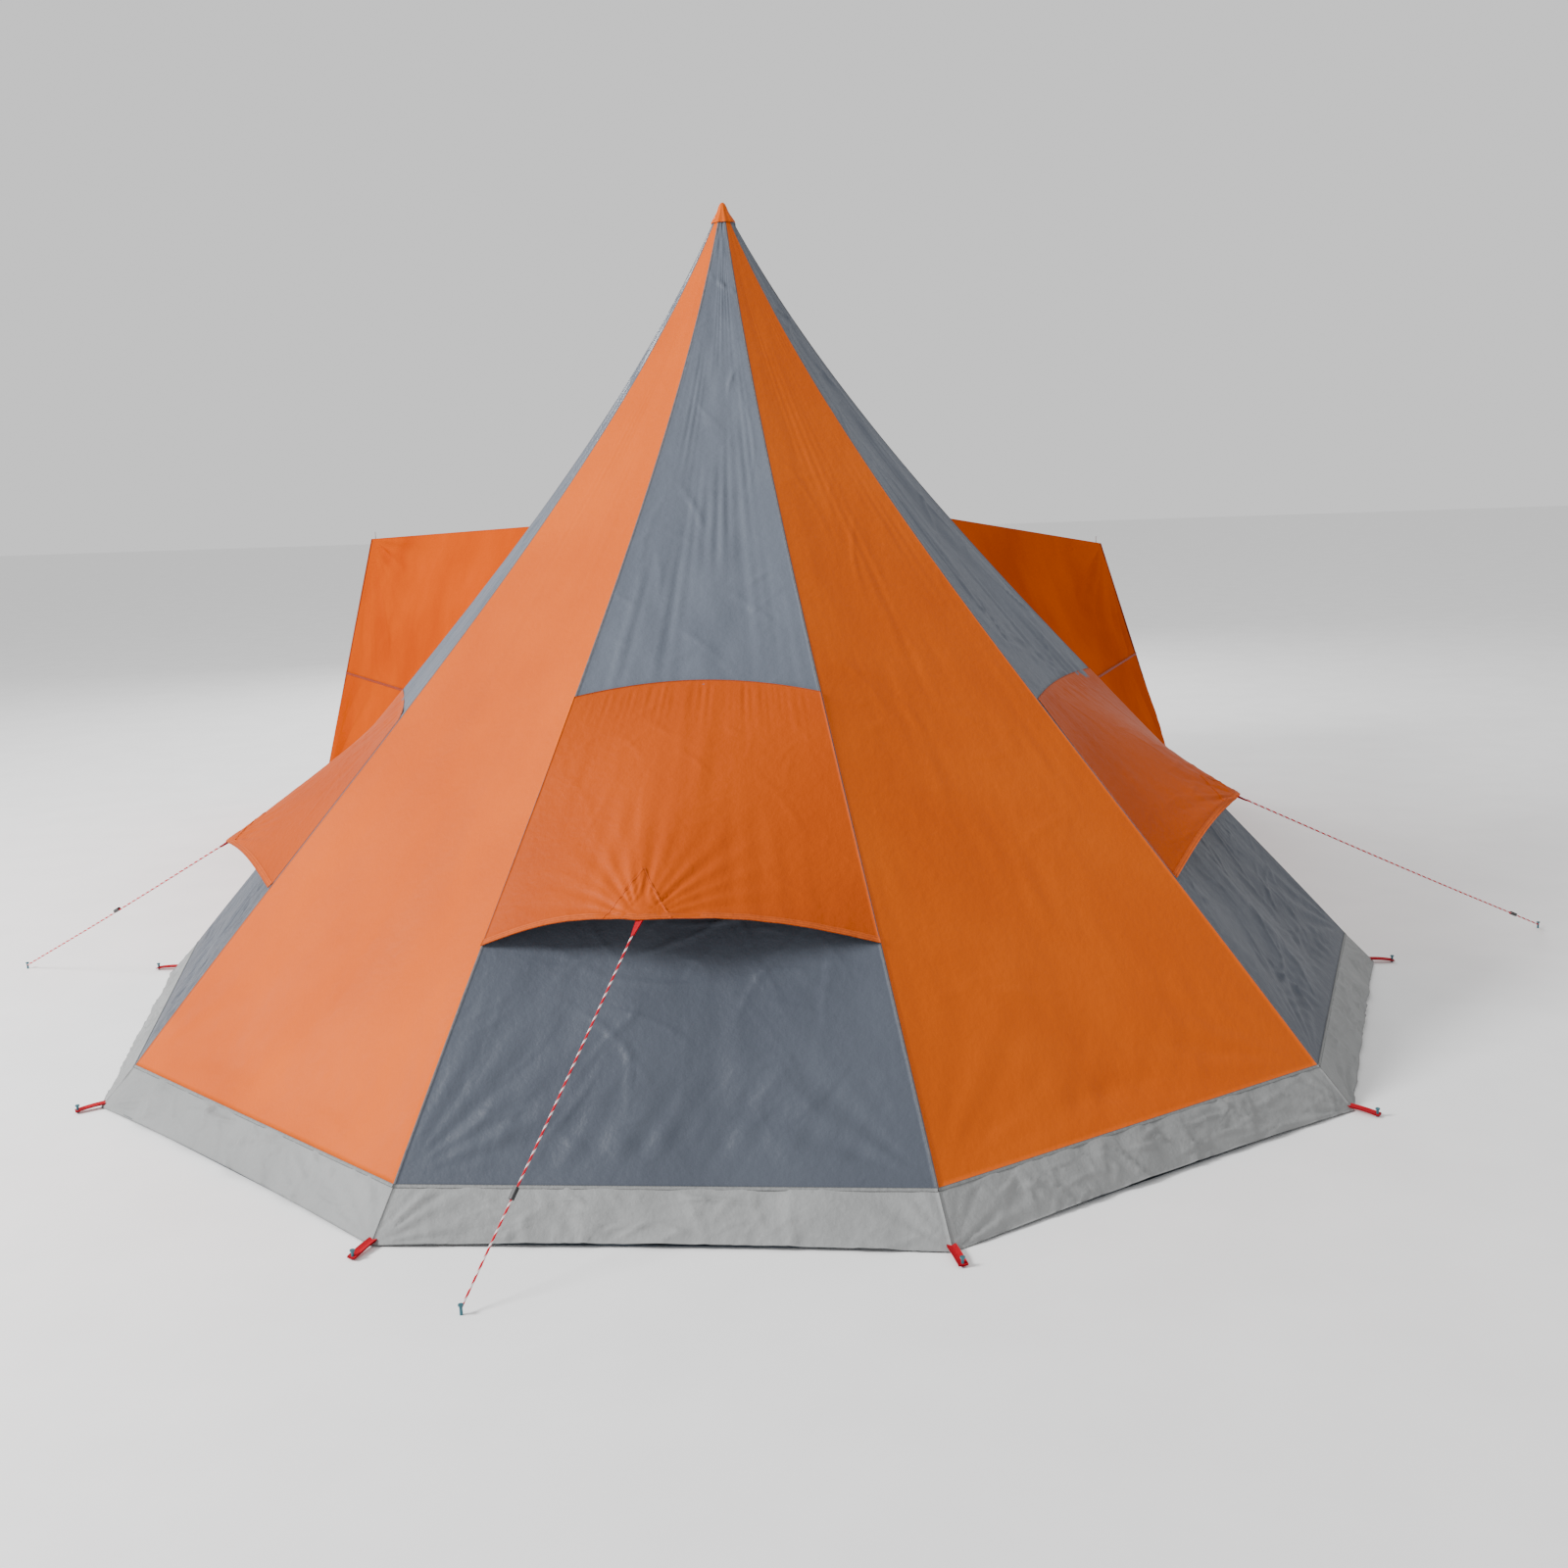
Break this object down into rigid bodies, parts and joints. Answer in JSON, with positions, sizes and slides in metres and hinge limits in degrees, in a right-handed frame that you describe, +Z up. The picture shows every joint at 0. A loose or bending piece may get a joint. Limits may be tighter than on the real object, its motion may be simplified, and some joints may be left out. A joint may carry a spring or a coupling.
{
  "type": "single-pole family tent",
  "caption": "Single-pole pyramid tent of flat gores, with guyed vent hoods, a light mud skirt, a zipped door and a wide front awning on poles.",
  "frame": {"origin": "on the ground under the centre pole, on the underside of the groundsheet", "axes": "+Z up along the centre pole; the door and the awning face -Y, the rear vent hood faces +Y; +X is on the left of a person looking at the rear"},
  "size_m": [6.6377, 6.3783, 3],
  "materials": {
    "orange_cloth": "coated polyester, low sheen",
    "awning_cloth": "thin coated polyester, slightly translucent",
    "grey_cloth": "coated polyester, low sheen",
    "mesh": "fine knitted mosquito mesh",
    "skirt_cloth": "light grey woven polyethylene",
    "groundsheet": "dark blue-grey woven polyethylene",
    "webbing": "red woven polypropylene webbing",
    "rope": "braided cord, red with white fleck",
    "black_plastic": "moulded",
    "zip_tape": "woven zip tape with nylon coil",
    "zip_metal": "black enamelled die casting",
    "pole_steel": "grey powder-coated steel tube",
    "spike_steel": "plain steel",
    "peg_steel": "blue-green painted steel"
  },
  "bodies": {
    "tent": {"rear_lower_wall": "grey_cloth", "rear_upper_panel": "grey_cloth", "rear_vent_mesh": "mesh", "rear_vent_hood": "orange_cloth", "guyline_rear": "rope", "left_lower_wall": "grey_cloth", "left_upper_panel": "grey_cloth", "left_vent_mesh": "mesh", "left_vent_hood": "orange_cloth", "guyline_left": "rope", "right_lower_wall": "grey_cloth", "right_upper_panel": "grey_cloth", "right_vent_mesh": "mesh", "right_vent_hood": "orange_cloth", "guyline_right": "rope", "orange_gore_rear_left": "orange_cloth", "orange_gore_side_left": "orange_cloth", "grey_gore_front_left": "grey_cloth", "awning_wing_upper_left": "awning_cloth", "awning_wing_lower_left": "awning_cloth", "awning_pole_lower_left": "pole_steel", "awning_pole_upper_left": "pole_steel", "orange_gore_rear_right": "orange_cloth", "orange_gore_side_right": "orange_cloth", "grey_gore_front_right": "grey_cloth", "awning_wing_upper_right": "awning_cloth", "awning_wing_lower_right": "awning_cloth", "awning_pole_lower_right": "pole_steel", "awning_pole_upper_right": "pole_steel", "door_header": "orange_cloth", "apex_cap": "orange_cloth", "mud_skirt": "skirt_cloth", "groundsheet": "groundsheet", "awning_roof": "awning_cloth", "centre_pole_lower": "pole_steel", "centre_pole_middle": "pole_steel", "centre_pole_upper": "pole_steel", "centre_pole_foot": "black_plastic", "centre_pole_plug": "black_plastic", "awning_pole_feet": "black_plastic", "awning_pole_spikes": "spike_steel", "peg_loops": "webbing", "hood_guy_loops": "webbing", "corner_pegs": "peg_steel", "guyline_pegs": "peg_steel"},
    "door_left": {"door_leaf_left": "orange_cloth", "zip_tape_left": "zip_tape"},
    "door_right": {"door_leaf_right": "orange_cloth", "zip_tape_right": "zip_tape"},
    "zip_slider_body": {"zip_slider": "zip_metal"},
    "zip_puller_body": {"zip_puller": "zip_metal"},
    "runner_rear": {"guyline_runner_rear": "black_plastic"},
    "runner_left": {"guyline_runner_left": "black_plastic"},
    "runner_right": {"guyline_runner_right": "black_plastic"}
  },
  "joints": [
    {"name": "door_left_hinge", "type": "hinge", "parent": "tent", "child": "door_left", "pos_m": [0.7334, -2.25717, 0.128], "axis": [-0.209, 0.6432, 0.7366], "range_deg": [0, 95]},
    {"name": "door_right_hinge", "type": "hinge", "parent": "tent", "child": "door_right", "pos_m": [-0.7334, -2.25717, 0.128], "axis": [-0.209, -0.6432, -0.7366], "range_deg": [0, 95]},
    {"name": "zip_slide", "type": "slide", "parent": "door_left", "child": "zip_slider_body", "axis": [0, 0.6578, 0.7532], "range_m": [0, 1.7]},
    {"name": "zip_puller_hinge", "type": "hinge", "parent": "zip_slider_body", "child": "zip_puller_body", "pos_m": [0, -2.23461, 0.16553], "axis": [-1, 0, 0], "range_deg": [0, 110]},
    {"name": "runner_slide_rear", "type": "slide", "parent": "tent", "child": "runner_rear", "axis": [0.2995, 0.6861, -0.663], "range_m": [-0.752, 0.257]},
    {"name": "runner_slide_left", "type": "slide", "parent": "tent", "child": "runner_left", "axis": [0.8048, -0.4066, -0.4325], "range_m": [-0.743, 0.722]},
    {"name": "runner_slide_right", "type": "slide", "parent": "tent", "child": "runner_right", "axis": [-0.7458, -0.5304, -0.4031], "range_m": [-1.706, 0.147]}
  ]
}
